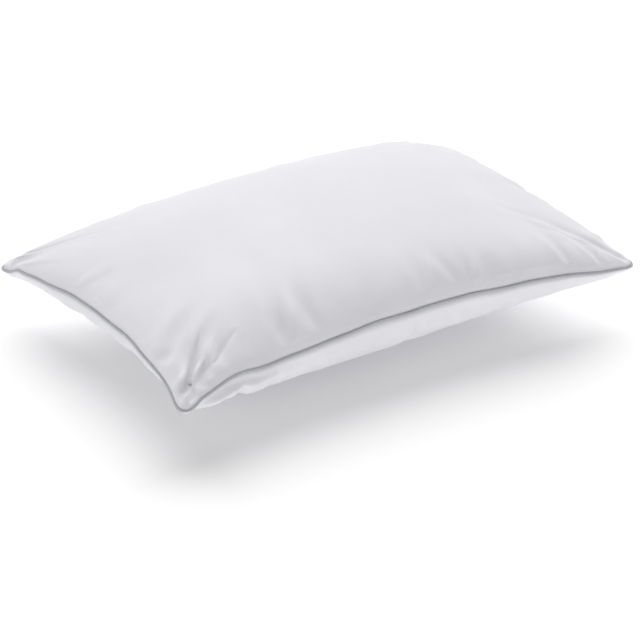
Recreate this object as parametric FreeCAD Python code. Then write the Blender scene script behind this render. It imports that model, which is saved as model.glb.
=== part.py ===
# A piped bed pillow, in millimetres, +Z up.
# The origin is the middle of its underside, where it rests on the bed. X runs along the
# long sides and Y along the short ones.
#
# Two cloth panels are sewn together all round, and the sewn edge is the seam line. A cord
# covered in tape, the piping, lies along the seam line. The panels and the tape turn in
# behind it as a flat seam allowance, which holds the stitches.
#
# A place on the pillow is given by u and v. They run from -1 to 1 between the short sides
# and between the long sides, and inset is the distance in from the seam line.
import FreeCAD
import Part

import math
import os

from FreeCAD import Vector

# Overall size. The length and width are between the corners of the seam line, unrounded.
corner_length = 668.0
corner_width = 465.0
loft = 181.0
short_side_pull = 21.5  # how far the middle of a short side is drawn in
long_side_pull = 27.5  # how far the middle of a long side is drawn in
corner_trim = 8.0  # how far rounding takes each corner in, along X and along Y
corner_seam_height = 87.0
mid_seam_rise = 21.5  # the seam stands this much higher between the corners
rim_angle = 85.0  # how much of a quarter ellipse the crown follows, in degrees
belly_press = 5.0  # how deep the bed would reach into an unpressed belly

# Cloth, piping and thread
panel_cloth = 0.40
shoulder_height = 1.6  # where the cloth turns out of the seam, before it crowns
shoulder_width = 0.8
tape_cloth = 0.35
cord_diameter = 1.80
cord_clearance = 0.05
layer_clearance = 0.05
seam_allowance = 10.0
thread_diameter = 0.30
stitch_pitch = 3.5
stitch_gap = 0.45  # from one stitch's end to the next one's start
stitch_inset = 2.0  # from the panel's edge in to the main seam
closing_pitch = 4.4
closing_inset = 1.3
overlock_pitch = 5.0
overlock_bite = 4.0
overlock_slant = 1.2

# Fill opening, in the middle of the +X short side, and its overlap onto the main seam
opening_length = 180.0
opening_overlap = 12.0

# Care label, folded in two, caught in the +Y long side and hanging down behind the belly
label_cloth = 0.12
label_width = 30.0
label_drop = 42.0
label_tail = 8.0  # length held in the seam
label_place = 190.0  # from the middle of the long side
label_gap = 0.25  # from the hanging label to the panel behind it

# Filling
fill_clearance = 0.4
fill_edge_gap = 3.0  # between the seam allowance and the filling

# How finely the curved faces and the paths are drawn
grid_steps = 36
ring_steps = 32
strip_steps = 2  # of the ring's, in each strip of a pipe's skin
bend_steps = 4
label_steps = 6
path_steps = 1500
nudge = 0.0001
sew_tolerance = 0.001

# Worked out
half_length = corner_length / 2
half_width = corner_width / 2
tip_x = half_length - corner_trim
tip_y = half_width - corner_trim
rim_sine = math.sin(math.radians(rim_angle))
rim_cosine = math.cos(math.radians(rim_angle))
label_thickness = 2 * label_cloth
label_bend = 2 * layer_clearance
pipe_radius = cord_diameter / 2 + cord_clearance + tape_cloth
panel_inset = pipe_radius + layer_clearance + label_thickness + label_gap
allowance_inset = panel_inset + seam_allowance
top_stack = tape_cloth + layer_clearance
bottom_stack = top_stack + label_thickness + layer_clearance
thread_radius = thread_diameter / 2
mid_seam_height = corner_seam_height + mid_seam_rise
shoulder_inset = panel_inset + shoulder_width
crown_rise = loft - mid_seam_height - top_stack - shoulder_height
belly_depth = mid_seam_height - bottom_stack - shoulder_height + belly_press
slant_cloth = panel_cloth * math.hypot(1, shoulder_width / shoulder_height)


def seam_height(x, y):
    """Height of the seam line, carried over the whole pillow as a gently curved sheet."""
    return corner_seam_height + mid_seam_rise * (1 - (x * y / (tip_x * tip_y)) ** 2)


def point(u, v, inset, lift):
    """The point at u and v, with lift as its height over the sheet of the seam line."""
    room_x = half_length - inset
    room_y = half_width - inset
    x = u * (room_x - short_side_pull * (1 - v * v))
    y = v * (room_y - long_side_pull * (1 - u * u))
    # These powers bring both sides into the corner at 45 degrees, so that it is round
    power_x = (room_x + 2 * long_side_pull) / corner_trim - 1
    power_y = (room_y + 2 * short_side_pull) / corner_trim - 1
    x -= corner_trim * u * abs(v) ** power_y
    y -= corner_trim * v * abs(u) ** power_x
    return Vector(x, y, seam_height(x, y) + lift)


def steps():
    """Values from -1 to 1 that crowd towards both ends, as equal turns of an ellipse do."""
    turn = math.radians(rim_angle)
    return [math.sin(turn * (2 * i / grid_steps - 1)) / rim_sine for i in range(grid_steps + 1)]


def crown(u):
    """Height across a crown as a share of its middle: the cap of an ellipse."""
    return (math.sqrt(1 - (rim_sine * u) ** 2) - rim_cosine) / (1 - rim_cosine)


def around(values, inset, lift):
    """Points all round the outline: up the +X side, back along +Y, down -X, along -Y."""
    run = values[:-1]
    right = [point(1.0, t, inset, lift) for t in run]
    back = [point(-t, 1.0, inset, lift) for t in run]
    left = [point(-1.0, -t, inset, lift) for t in run]
    front = [point(t, -1.0, inset, lift) for t in run]
    return right + back + left + front


def curve_through(points):
    """A smooth curve with each point one step further along."""
    curve = Part.BSplineCurve()
    curve.interpolate(Points=points, Parameters=[float(i) for i in range(len(points))])
    return curve


def face_through(rows):
    """A smooth face through rows of points, drawn across the rows and then along them."""
    across = [curve_through(row) for row in rows]
    columns = zip(*(curve.getPoles() for curve in across))
    along = [curve_through(list(column)) for column in columns]
    surface = Part.BSplineSurface()
    surface.buildFromPolesMultsKnots(
        [list(poles) for poles in zip(*(curve.getPoles() for curve in along))],
        along[0].getMultiplicities(), across[0].getMultiplicities(),
        along[0].getKnots(), across[0].getKnots(),
        False, False, along[0].Degree, across[0].Degree,
    )
    return surface.toShape()


def band(*loops):
    """Faces through closed loops of points, one face to each side of the pillow."""
    faces = []
    count = len(loops[0])
    for first in range(0, count, grid_steps):
        run = range(first, first + grid_steps + 1)
        faces.append(face_through([[loop[i % count] for i in run] for loop in loops]))
    return faces


def shell_of(faces):
    """A closed shell from faces that meet edge to edge."""
    shell = Part.makeShell(faces)
    shell.sewShape(sew_tolerance)
    if not shell.isClosed():
        raise ValueError("the faces leave a gap")
    return shell


def solid_of(faces, holes=()):
    """A solid from its outer faces, less the closed solids that lie inside it."""
    made = Part.makeSolid(shell_of(faces))
    if made.Volume < 0:
        made.reverse()
    return made.cut(list(holes)).Solids[0] if holes else made


def dome(inset, lift, height, offset=0.0):
    """A grid of points over a crown that stands on the outline, or under it if the height
    is negative. Each is moved off the crown by the offset, up or down square to it."""
    def at(u, v):
        return point(u, v, inset, lift + height * crown(u) * crown(v))

    def moved(u, v):
        tilt_u = at(u + nudge, v) - at(u - nudge, v)
        tilt_v = at(u, v + nudge) - at(u, v - nudge)
        return at(u, v) + tilt_u.cross(tilt_v).normalize() * offset

    return [[moved(u, v) for v in steps()] for u in steps()]


def rim(rows):
    """The edge of a grid of points as a loop, in the order of the outline."""
    right = rows[-1]
    back = [row[-1] for row in reversed(rows)]
    left = rows[0][::-1]
    front = [row[0] for row in rows]
    return right[:-1] + back[:-1] + left[:-1] + front[:-1]


def pressed(face, height):
    """A belly face cut off flat at a height, and the flat that closes it."""
    span = 2 * max(corner_length, corner_width)
    above = Part.makeBox(span, span, span, Vector(-span / 2, -span / 2, height))
    kept = face.common(above).Faces[0]
    cut = min(kept.Wires, key=lambda wire: wire.BoundBox.ZMax)
    edges = [e.Curve.toShape(e.FirstParameter, e.LastParameter) for e in cut.Edges]
    return [kept, Part.Face(Part.Wire(edges))]


def panel(upward):
    """A cover panel: its crowned cloth and the seam allowance turned in behind it."""
    way = 1 if upward else -1
    near = way * (top_stack if upward else bottom_stack)
    far = near + way * panel_cloth
    rise = way * (crown_rise if upward else belly_depth)
    outer = dome(shoulder_inset, near + way * shoulder_height, rise)
    inner = dome(shoulder_inset, near + way * shoulder_height, rise, -way * panel_cloth)
    turn_inset = panel_inset + shoulder_width / shoulder_height * panel_cloth + slant_cloth
    loops = [
        rim(outer),
        around(steps(), panel_inset, near),
        around(steps(), allowance_inset, near),
        around(steps(), allowance_inset, far),
        around(steps(), turn_inset, far),
        rim(inner),
    ]
    faces = []
    for one, other in zip(loops, loops[1:]):
        faces += band(one, other)
    if upward:
        return solid_of(faces + [face_through(outer), face_through(inner)])
    faces += pressed(face_through(outer), 0.0)
    return solid_of(faces + pressed(face_through(inner), panel_cloth))


def filling():
    """The fibre filling, just inside the panels and clear of the seam allowance."""
    inset = allowance_inset + fill_edge_gap
    skin = panel_cloth + fill_clearance
    top = dome(inset, top_stack + shoulder_height - skin, crown_rise)
    bottom = dome(inset, skin - bottom_stack - shoulder_height, -belly_depth)
    faces = [face_through(top), *pressed(face_through(bottom), skin)]
    return solid_of(faces + band(rim(top), rim(bottom)))


def frame_at(before, here, after):
    """A place on the sheet of the seam line: along the seam, outward and up from the sheet."""
    slope = -2 * mid_seam_rise * here.x * here.y / (tip_x * tip_y) ** 2
    normal = Vector(-slope * here.y, -slope * here.x, 1)
    along = (after - before).normalize()
    out = along.cross(normal).normalize()
    return here, along, out, out.cross(along)


def frames_along(points):
    """A frame at each point of a closed loop."""
    count = len(points)
    return [
        frame_at(points[i - 1], points[i], points[(i + 1) % count]) for i in range(count)
    ]


def beside(frames, out_by, up_by):
    """The loop that runs beside the frames at a fixed offset."""
    return [here + out * out_by + up * up_by for here, along, out, up in frames]


def ring(frames, radius, half_turn):
    """Loops round a pipe about the frames, from below its inner side to above it."""
    loops = []
    for k in range(ring_steps + 1):
        angle = half_turn * (2 * k / ring_steps - 1)
        loops.append(beside(frames, radius * math.cos(angle), radius * math.sin(angle)))
    return loops


def pipe(radius):
    """A round solid all along the seam line, its skin in even strips."""
    loops = ring(frames_along(around(steps(), 0.0, 0.0)), radius, math.pi)
    faces = []
    for first in range(0, ring_steps, strip_steps):
        faces += band(*loops[first:first + strip_steps + 1])
    return solid_of(faces)


def tape():
    """The tape: round the cord, then flat through the seam allowance as two layers."""
    frames = frames_along(around(steps(), 0.0, 0.0))
    wrap = ring(frames, pipe_radius, math.pi - math.asin(tape_cloth / pipe_radius))
    far_top = around(steps(), allowance_inset, tape_cloth)
    far_low = around(steps(), allowance_inset, -tape_cloth)
    faces = band(*wrap) + band(wrap[-1], far_top) + band(far_top, far_low)
    faces += band(far_low, wrap[0])
    return solid_of(faces, [pipe(cord_diameter / 2 + cord_clearance)])


def dense_line(inset):
    """Closely spaced points all round, and the distance run to each of them."""
    line = around([2 * i / path_steps - 1 for i in range(path_steps + 1)], inset, 0.0)
    line.append(line[0])
    reach = [0.0]
    for here, after in zip(line, line[1:]):
        reach.append(reach[-1] + here.distanceToPoint(after))
    return line, reach


def opening_reach(inset):
    """How far round the fill opening starts and ends, and the whole way round."""
    reach = dense_line(inset)[1]
    share = opening_length / corner_width
    start = reach[round(path_steps * (1 - share) / 2)]
    end = reach[round(path_steps * (1 + share) / 2)]
    return start, end, reach[-1]


def places(inset, pitch, start=0.0, length=None):
    """Evenly pitched frames along a stretch of the seam, from the +X, -Y corner on."""
    line, reach = dense_line(inset)
    length = length or reach[-1]
    count = round(length / pitch)
    found = []
    k = 0
    for i in range(count):
        want = (start + length * (i + 0.5) / count) % reach[-1]
        if want < reach[k]:
            k = 0
        while reach[k + 1] < want:
            k += 1
        share = (want - reach[k]) / (reach[k + 1] - reach[k])
        here = line[k] + (line[k + 1] - line[k]) * share
        found.append(frame_at(line[k], here, line[k + 1]))
    return found


def thread(points):
    """A piece of thread through the points, mitred where it turns."""
    start = (points[1] - points[0]).normalize()
    end_ring = Part.Wire(Part.makeCircle(thread_radius, points[0], start))
    return Part.makePolygon(points).makePipeShell([end_ring], True, False, 1)


def placed(template, frames):
    """A copy of the template at each frame: its X along the seam, Y outward, Z up."""
    copies = []
    for here, along, out, up in frames:
        copy = template.copy()
        copy.Placement = FreeCAD.Placement(FreeCAD.Matrix(
            along.x, out.x, up.x, here.x,
            along.y, out.y, up.y, here.y,
            along.z, out.z, up.z, here.z,
            0, 0, 0, 1,
        ))
        copies.append(copy)
    return Part.makeCompound(copies)


def stitch(pitch, level):
    """Half a lockstitch: a bar on the cloth at level, with a leg at each end to the middle."""
    half = (pitch - stitch_gap) / 2
    foot = math.copysign(thread_radius, level)
    bar = level + foot
    return thread([
        Vector(-half, 0, foot), Vector(-half, 0, bar),
        Vector(half, 0, bar), Vector(half, 0, foot),
    ])


def overlock_loop():
    """One loop of overlock thread round the raw edges of the seam allowance."""
    top = top_stack + panel_cloth + thread_radius
    low = -bottom_stack - panel_cloth - thread_radius
    edge = -(thread_diameter + layer_clearance)
    return thread([
        Vector(0, overlock_bite, low + thread_diameter), Vector(0, overlock_bite, top),
        Vector(overlock_slant, edge, top), Vector(overlock_slant, edge, low),
        Vector(-thread_diameter, overlock_bite, low),
    ])


def main_seam(level):
    """The main seam's stitches on one face of the seam, from the opening round to it."""
    inset = panel_inset + stitch_inset
    start, end, whole = opening_reach(inset)
    return placed(stitch(stitch_pitch, level), places(inset, stitch_pitch, end, whole - end + start))


def closing_seam(levels):
    """The later stitches that close the opening, run onto the main seam at both ends."""
    inset = panel_inset + closing_inset
    start, end, whole = opening_reach(inset)
    stretch = end - start + 2 * opening_overlap
    sewn = places(inset, closing_pitch, start - opening_overlap, stretch)
    return Part.makeCompound([placed(stitch(closing_pitch, level), sewn) for level in levels])


def label_edge(frame):
    """The folded label's outline, seen along the seam, as a row of edges' points."""
    here, along, out, up = frame
    upper = -top_stack
    lower = upper - label_thickness
    outer = -(pipe_radius + layer_clearance)
    inner = outer - label_thickness
    tail = inner - label_bend - label_tail
    end = lower - label_bend - label_drop
    centre_n = inner - label_bend
    centre_z = lower - label_bend

    def at(n, z):
        return here + out * n + up * z

    def bend(radius, turns):
        return [
            at(centre_n + radius * math.sin(turn), centre_z + radius * math.cos(turn))
            for turn in turns
        ]

    turns = [math.pi / 2 * k / bend_steps for k in range(bend_steps + 1)]
    outside = bend(label_bend + label_thickness, turns)
    inside = bend(label_bend, turns[::-1])
    return [
        [at(tail, upper), outside[0]], outside, [outside[-1], at(outer, end)],
        [at(outer, end), at(inner, end)], [at(inner, end), inside[0]], inside,
        [inside[-1], at(tail, lower)], [at(tail, lower), at(tail, upper)],
    ]


def label():
    """The folded label, which follows the seam across its width."""
    line = [
        point((label_place + label_width * (0.5 - k / label_steps)) / half_length, 1.0, 0.0, 0.0)
        for k in range(-1, label_steps + 2)
    ]
    frames = [frame_at(*line[k:k + 3]) for k in range(label_steps + 1)]
    outlines = [label_edge(frame) for frame in frames]
    faces = [face_through(list(rows)) for rows in zip(*outlines)]
    for outline in (outlines[0], outlines[-1]):
        faces.append(Part.Face(Part.Wire([curve_through(run).toShape() for run in outline])))
    return solid_of(faces)


def main():
    top_level = top_stack + panel_cloth
    low_level = -(bottom_stack + panel_cloth)
    pieces = {
        "top_panel": panel(True),
        "bottom_panel": panel(False),
        "fibre_filling": filling(),
        "piping_cord": pipe(cord_diameter / 2),
        "piping_tape": tape(),
        "seam_needle_thread": main_seam(top_level),
        "seam_bobbin_thread": main_seam(low_level),
        "closing_seam_thread": closing_seam((top_level, low_level)),
        "overlock_thread": placed(overlock_loop(), places(allowance_inset, overlock_pitch)),
        "care_label": label(),
    }
    os.makedirs("parts", exist_ok=True)
    for name, shape in pieces.items():
        volume = sum(solid.Volume for solid in shape.Solids)
        print(name, len(shape.Solids), "solid(s)", shape.isValid(), round(volume, 1), "mm3")
        shape.exportStep(os.path.join("parts", name + ".step"))


main()
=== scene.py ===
import bpy
import math
import numpy as np
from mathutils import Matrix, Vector


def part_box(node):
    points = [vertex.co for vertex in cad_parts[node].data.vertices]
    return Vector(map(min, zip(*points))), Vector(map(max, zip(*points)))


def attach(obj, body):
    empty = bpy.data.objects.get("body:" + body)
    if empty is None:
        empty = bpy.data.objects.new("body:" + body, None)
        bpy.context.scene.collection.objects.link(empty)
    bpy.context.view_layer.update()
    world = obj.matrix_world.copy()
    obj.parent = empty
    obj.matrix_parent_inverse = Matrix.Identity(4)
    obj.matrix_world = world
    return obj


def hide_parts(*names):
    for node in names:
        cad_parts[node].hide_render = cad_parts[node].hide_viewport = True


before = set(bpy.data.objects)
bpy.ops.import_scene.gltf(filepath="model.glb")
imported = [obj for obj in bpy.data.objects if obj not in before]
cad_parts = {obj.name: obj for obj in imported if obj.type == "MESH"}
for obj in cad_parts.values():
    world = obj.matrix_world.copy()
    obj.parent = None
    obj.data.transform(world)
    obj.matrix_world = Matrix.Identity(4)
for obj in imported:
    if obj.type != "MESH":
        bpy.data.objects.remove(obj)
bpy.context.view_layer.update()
rng = np.random.default_rng(12)
print("frame loaded:", len(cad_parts), "nodes")


def gridFaces(rows, cols, wrapRows=False, wrapCols=False):
    # every cell of a grid as four vertex numbers, row by row, joined round where it wraps
    r = np.arange(rows if wrapRows else rows - 1)[:, None]
    c = np.arange(cols if wrapCols else cols - 1)[None, :]
    r2, c2 = (r + 1) % rows, (c + 1) % cols
    cells = np.stack([r * cols + c, r2 * cols + c, r2 * cols + c2, r * cols + c2], axis=-1)
    return cells.reshape(-1, 4)


def newPiece(name, points, faces, uv=None, smooth=True):
    # a mesh object straight from points and faces, with the cloth's own place in metres as its UV
    mesh = bpy.data.meshes.new(name)
    mesh.from_pydata(points.reshape(-1, 3).tolist(), [], faces.tolist())
    if uv is not None:
        layer = mesh.uv_layers.new(name="cloth")
        corners = np.empty(len(mesh.loops), int)
        mesh.loops.foreach_get("vertex_index", corners)
        layer.data.foreach_set("uv", uv.reshape(-1, 2)[corners].astype(np.float32).ravel())
    mesh.polygons.foreach_set("use_smooth", np.full(len(mesh.polygons), smooth))
    mesh.update()
    obj = bpy.data.objects.new(name, mesh)
    bpy.context.scene.collection.objects.link(obj)
    return obj


def unit(vectors):
    # each vector over its own length
    return vectors / np.linalg.norm(vectors, axis=-1, keepdims=True)


def smoothStep(low, high, x):
    # 3tt - 2ttt, where t runs from 0 at low to 1 at high
    t = np.clip((x - low) / (high - low), 0.0, 1.0)
    return t * t * (3 - 2 * t)


seam = {
    "bowX": 0.0644,  # how far the middle of a short side is drawn in, as a share of half the length
    "bowY": 0.1183,
    "trimX": 0.024,  # how far rounding takes the corners in
    "trimY": 0.0344,
    "steepX": 33.4,  # how late along a short side that rounding starts
    "steepY": 47.6,
    # each corner's own height over the design: left front, right front, left back, right back
    "cornerLift": (0.0014, 0.0045, -0.0055, -0.0005),
}
piping = {
    "cord": 0.0009,  # radius
    "radius": 0.0013,  # over the tape
    "tape": 0.00035,
    "clearance": 0.00005,
    "allowance": 0.01184,  # how far in from the seam line the raw edges lie
    "corners": 0.5,  # how strongly points crowd towards the corners
}

cordLow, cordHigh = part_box("piping_cord")
reach = (cordHigh - cordLow) / 2 - Vector((piping["cord"],) * 3)
seamLow = cordLow.z + piping["cord"]
seamHigh = cordHigh.z - piping["cord"]


def outlineShape(u, v):
    # u and v bowed in towards each side's middle, then rounded off by a steep power near the corners
    x = u * (1 - seam["bowX"] * (1 - v * v)) - seam["trimX"] * u * np.abs(v) ** seam["steepX"]
    y = v * (1 - seam["bowY"] * (1 - u * u)) - seam["trimY"] * v * np.abs(u) ** seam["steepY"]
    return x, y


edge = np.linspace(-1, 1, 2001)
halfX = reach.x / outlineShape(1.0, edge)[0].max()
halfY = reach.y / outlineShape(edge, 1.0)[1].max()
tipX = outlineShape(1.0, 1.0)[0] * halfX
tipY = outlineShape(1.0, 1.0)[1] * halfY


def sheetHeight(x, y):
    # the seam's height carried over the pillow: high along both middles and low at the corners,
    # with each corner's own lift blended in evenly between the four
    level = seamLow + (seamHigh - seamLow) * (1 - (x * y / (tipX * tipY)) ** 2)
    e, n = (1 + x / halfX) / 2, (1 + y / halfY) / 2
    a, b, c, d = seam["cornerLift"]
    return level + a * (1 - e) * (1 - n) + b * e * (1 - n) + c * (1 - e) * n + d * e * n


def roundTheEdge(count):
    # u and v once round the four sides, from the right front corner, crowded towards the corners
    t = np.linspace(-1, 1, count + 1)[:-1]
    t = t * (1 - piping["corners"]) + np.sin(t * math.pi / 2) * piping["corners"]
    one = np.ones_like(t)
    return (np.concatenate([one, -t, -one, t]), np.concatenate([t, one, -t, -one]))


print("seam worked out, half size", round(halfX, 4), round(halfY, 4))


unevenness = {
    "waveHeight": 0.0006,  # the sewn edge never runs quite true
    "waveSide": 0.0006,
    "waveLengths": (0.127, 0.071, 0.233),
    "phases": (1.3, 2.1),
    "sidePhases": (2.0, 1.0),  # these make facing sides differ
    "fadeFrom": (0.80, 0.72),  # the share of the half size where the waves start, along X and Y
    # pushes, the first seven fitted and the rest given: where as u and v, how far each
    # spreads and the way it moves, both in metres
    "pushes": [
        ((-1.0, -0.750), 0.025, (0.0011, 0.0008, 0.0022)),
        ((-1.0, -0.900), 0.014, (-0.0017, -0.0005, -0.0023)),
        ((-1.0, -0.965), 0.009, (-0.0021, -0.0013, -0.0039)),
        ((-0.985, -1.0), 0.008, (-0.0009, -0.0017, -0.0034)),
        ((-0.950, -1.0), 0.008, (0.0026, 0.0004, 0.0030)),
        ((-0.900, -1.0), 0.016, (-0.0049, 0.0017, -0.0020)),
        ((-0.800, -1.0), 0.030, (0.0051, 0.0035, 0.0103)),
        ((-1.0, 0.93), 0.012, (0.002, -0.001, -0.003)),
        ((-1.0, 0.835), 0.009, (0.000, 0.000, 0.0035)),
        ((-1.0, 1.0), 0.012, (-0.003, 0.000, 0.001)),
        ((1.0, 1.0), 0.030, (-0.005, -0.007, -0.004)),
    ],
}


def uneven(x, y):
    # slow waves along each side that fade inward, and gaussian pushes at listed places
    fadeX, fadeY = unevenness["fadeFrom"]
    phaseX, phaseY = unevenness["phases"]
    sideX, sideY = unevenness["sidePhases"]
    nearX = smoothStep(fadeX, 1.0, np.abs(x) / halfX)
    nearY = smoothStep(fadeY, 1.0, np.abs(y) / halfY)
    moved = np.zeros(np.shape(x) + (3,))
    for k, length in enumerate(unevenness["waveLengths"]):
        size = 1.0 / (k + 1)
        alongX = np.sin(2 * math.pi * x / length + phaseX * k + sideX * np.sign(y))
        alongY = np.sin(2 * math.pi * y / length + phaseY * k + sideY * np.sign(x))
        moved[..., 2] += unevenness["waveHeight"] * size * (alongX * nearY + alongY * nearX)
        moved[..., 1] += unevenness["waveSide"] * size * alongX * nearY
        moved[..., 0] += unevenness["waveSide"] * size * alongY * nearX
    for (u, v), wide, push in unevenness["pushes"]:
        px, py = outlineShape(u, v)
        away = (x - px * halfX) ** 2 + (y - py * halfY) ** 2
        moved += np.exp(-away / (2 * wide ** 2))[..., None] * np.array(push)
    return moved


def seamPoint(u, v, inset=0.0, lift=0.0):
    # the bowed outline scaled to the frame, moved in by the inset, at the seam sheet's height
    x, y = outlineShape(u, v)
    x, y = x * halfX - inset * u, y * halfY - inset * v
    flat = np.stack(np.broadcast_arrays(x, y, sheetHeight(x, y) + lift), axis=-1)
    return flat + uneven(flat[..., 0], flat[..., 1])


def outAndUp(points, along):
    # out is square to the seam and to the seam sheet's own normal, and up is square to both
    x, y = points[:, 0], points[:, 1]
    slope = -2 * (seamHigh - seamLow) * x * y / (tipX * tipY) ** 2
    normal = np.stack([-slope * y, -slope * x, np.ones_like(x)], axis=-1)
    out = unit(np.cross(along, normal))
    return out, np.cross(out, along)


def pipeFrames():
    # points once round the seam line, with the ways out and up at each, and the run so far
    points = seamPoint(*roundTheEdge(pipeLook["stations"] // 4))
    along = unit(np.roll(points, -1, axis=0) - np.roll(points, 1, axis=0))
    out, up = outAndUp(points, along)
    return points[:, None, :], out[:, None, :], up[:, None, :], runLength(points)


panels = {
    "top": {
        "node": "top_panel",
        "cutMiddle": (0.665, 0.461),  # the cloth's own size along its middle lines
        "seamLift": 0.00040,
    },
    "bottom": {
        "node": "bottom_panel",
        "cutMiddle": (0.701, 0.504),
        "seamLift": -0.00069,
    },
    "cutEdge": (0.695, 0.490),  # and along its sewn edges, which the seam gathers
    "flat": (0.50, 0.70),  # the size the cover is cut and sold to
    "cloth": 0.0004,
    "edgeInset": 0.0009,  # from the seam line to where the panels meet the tape
    "shoulder": 0.0013,  # how high the cloth stands up at the seam
    "shoulderRun": 0.0010,  # and over what distance
    "grid": (241, 171),
    "crowd": 0.72,  # how strongly the grid crowds towards the seam
    "pressedGap": 0.0004,  # from the pressed underside to the floor
    "pressedRound": 0.0006,  # how softly it turns into the pressed part
    "turnedInUv": 0.97,
}
clothSim = {
    # Blender's own cloth settings, and the most that a point may move, in metres
    "grid": (141, 99),
    "crowd": 0.35,
    "frames": 20,
    "quality": 5,
    "mass": 0.1,
    "stretch": 40,
    "shear": 12,
    "bend": 0.3,
    "drag": 3,
    "pressure": 4.0,
    "mostMove": 0.012,
}
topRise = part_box("top_panel")[1].z - seamHigh
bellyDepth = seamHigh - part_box("bottom_panel")[0].z


def crownPoint(u, v, way):
    # the seam sheet plus an ellipse across both ways: height times the root of (1-uu)(1-vv),
    # with a small shoulder that rises over the first millimetres from the sewn edge
    height = topRise if way > 0 else bellyDepth
    lift = panels["top" if way > 0 else "bottom"]["seamLift"]
    edgeX = np.clip(1 - np.abs(u), 0, 1) * halfX / panels["shoulderRun"]
    edgeY = np.clip(1 - np.abs(v), 0, 1) * halfY / panels["shoulderRun"]
    shoulder = panels["shoulder"] * (1 - np.exp(-edgeX)) * (1 - np.exp(-edgeY))
    crown = np.sqrt(np.clip((1 - u * u) * (1 - v * v), 0, 1))
    rise = way * (shoulder + (height - panels["shoulder"] - abs(lift)) * crown)
    return seamPoint(u, v, panels["edgeInset"], lift + rise)


def simulated(way):
    # the panel as a sheet cut to size, its edge pinned to the seam, blown up by the filling.
    # what comes back is each point's move, held under the most by a hyperbolic tangent
    side = panels["top" if way > 0 else "bottom"]
    rows, cols = clothSim["grid"]
    su = np.linspace(-1, 1, rows)[:, None] + np.zeros((1, cols))
    sv = np.linspace(-1, 1, cols)[None, :] + np.zeros((rows, 1))
    start = crownPoint(spread(su, clothSim["crowd"]), spread(sv, clothSim["crowd"]), way)
    middle, edges = side["cutMiddle"], panels["cutEdge"]
    cut = np.stack([
        su * (middle[0] + (edges[0] - middle[0]) * sv ** 2) / 2,
        sv * (middle[1] + (edges[1] - middle[1]) * su ** 2) / 2,
        np.zeros_like(su),
    ], axis=-1)
    faces = gridFaces(rows, cols)
    sheet = newPiece("simulated", start, faces if way > 0 else faces[:, ::-1])
    sheet.shape_key_add(name="start")
    cutKey = sheet.shape_key_add(name="cut")
    cutKey.data.foreach_set("co", cut.astype(np.float32).ravel())
    held = sheet.vertex_groups.new(name="sewn")
    number = np.arange(rows * cols).reshape(rows, cols)
    rimNumbers = np.concatenate([number[0], number[-1], number[1:-1, 0], number[1:-1, -1]])
    held.add(rimNumbers.tolist(), 1.0, "REPLACE")
    cloth = sheet.modifiers.new("cloth", "CLOTH")
    settings = cloth.settings
    settings.quality = clothSim["quality"]
    settings.mass = clothSim["mass"]
    settings.tension_stiffness = settings.compression_stiffness = clothSim["stretch"]
    settings.shear_stiffness = clothSim["shear"]
    settings.bending_stiffness = clothSim["bend"]
    settings.air_damping = clothSim["drag"]
    settings.use_pressure = True
    settings.uniform_pressure_force = clothSim["pressure"]
    settings.effector_weights.gravity = 0
    settings.vertex_group_mass = "sewn"
    settings.rest_shape_key = cutKey
    cloth.collision_settings.use_collision = False
    cloth.point_cache.frame_start = 1
    cloth.point_cache.frame_end = clothSim["frames"]
    for step in range(1, clothSim["frames"] + 1):
        bpy.context.scene.frame_set(step)
    result = sheet.evaluated_get(bpy.context.evaluated_depsgraph_get()).data
    found = np.empty(rows * cols * 3, np.float32)
    result.vertices.foreach_get("co", found)
    bpy.data.objects.remove(sheet)
    bpy.context.scene.frame_set(1)
    move = found.reshape(rows, cols, 3).astype(float) - start
    size = np.linalg.norm(move, axis=-1, keepdims=True)
    most = clothSim["mostMove"]
    return move * most * np.tanh(size / most) / np.maximum(size, 1e-9)


def spread(s, crowd):
    # even steps drawn towards both ends: a mix of s and the sine of a quarter turn times s
    return s * (1 - crowd) + np.sin(s * math.pi / 2) * crowd


def cubicWeights(wanted, count):
    # a row of weights for each wanted place in 0..count-1: the smooth cubic through four neighbours
    base = np.clip(np.floor(wanted).astype(int), 0, count - 2)
    t = wanted - base
    four = np.stack([
        -0.5 * t + t ** 2 - 0.5 * t ** 3, 1 - 2.5 * t ** 2 + 1.5 * t ** 3,
        0.5 * t + 2 * t ** 2 - 1.5 * t ** 3, -0.5 * t ** 2 + 0.5 * t ** 3,
    ], axis=-1)
    weights = np.zeros((len(wanted), count))
    where = np.clip(base[:, None] + np.arange(-1, 3), 0, count - 1)
    np.add.at(weights, (np.arange(len(wanted))[:, None], where), four)
    return weights


def unspread(u):
    # the even step that the cloth's own spread moves to u, read off a fine list of steps
    fine = np.linspace(-1, 1, 4001)
    return np.interp(u, spread(fine, clothSim["crowd"]), fine)


def panelSurface(move, u, v, way):
    # the crown plus the simulated move, with the folds along its normals, at any rows u, columns v
    rows, cols = clothSim["grid"]
    rowWeights = cubicWeights((unspread(u) + 1) / 2 * (rows - 1), rows)
    colWeights = cubicWeights((unspread(v) + 1) / 2 * (cols - 1), cols)
    moved = np.einsum("ia,jb,abk->ijk", rowWeights, colWeights, move, optimize=True)
    surface = crownPoint(u[:, None] + 0 * v[None, :], v[None, :] + 0 * u[:, None], way) + moved
    surface += gridNormals(surface) * (way * foldHeight(u, v, way))[..., None]
    if way < 0:
        # pressed flat: half of z plus the root of zz and a little keeps it above the floor
        z = surface[..., 2] - panels["pressedGap"]
        surface[..., 2] = panels["pressedGap"] + (z + np.sqrt(z * z + panels["pressedRound"] ** 2)) / 2
    return surface


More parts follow.
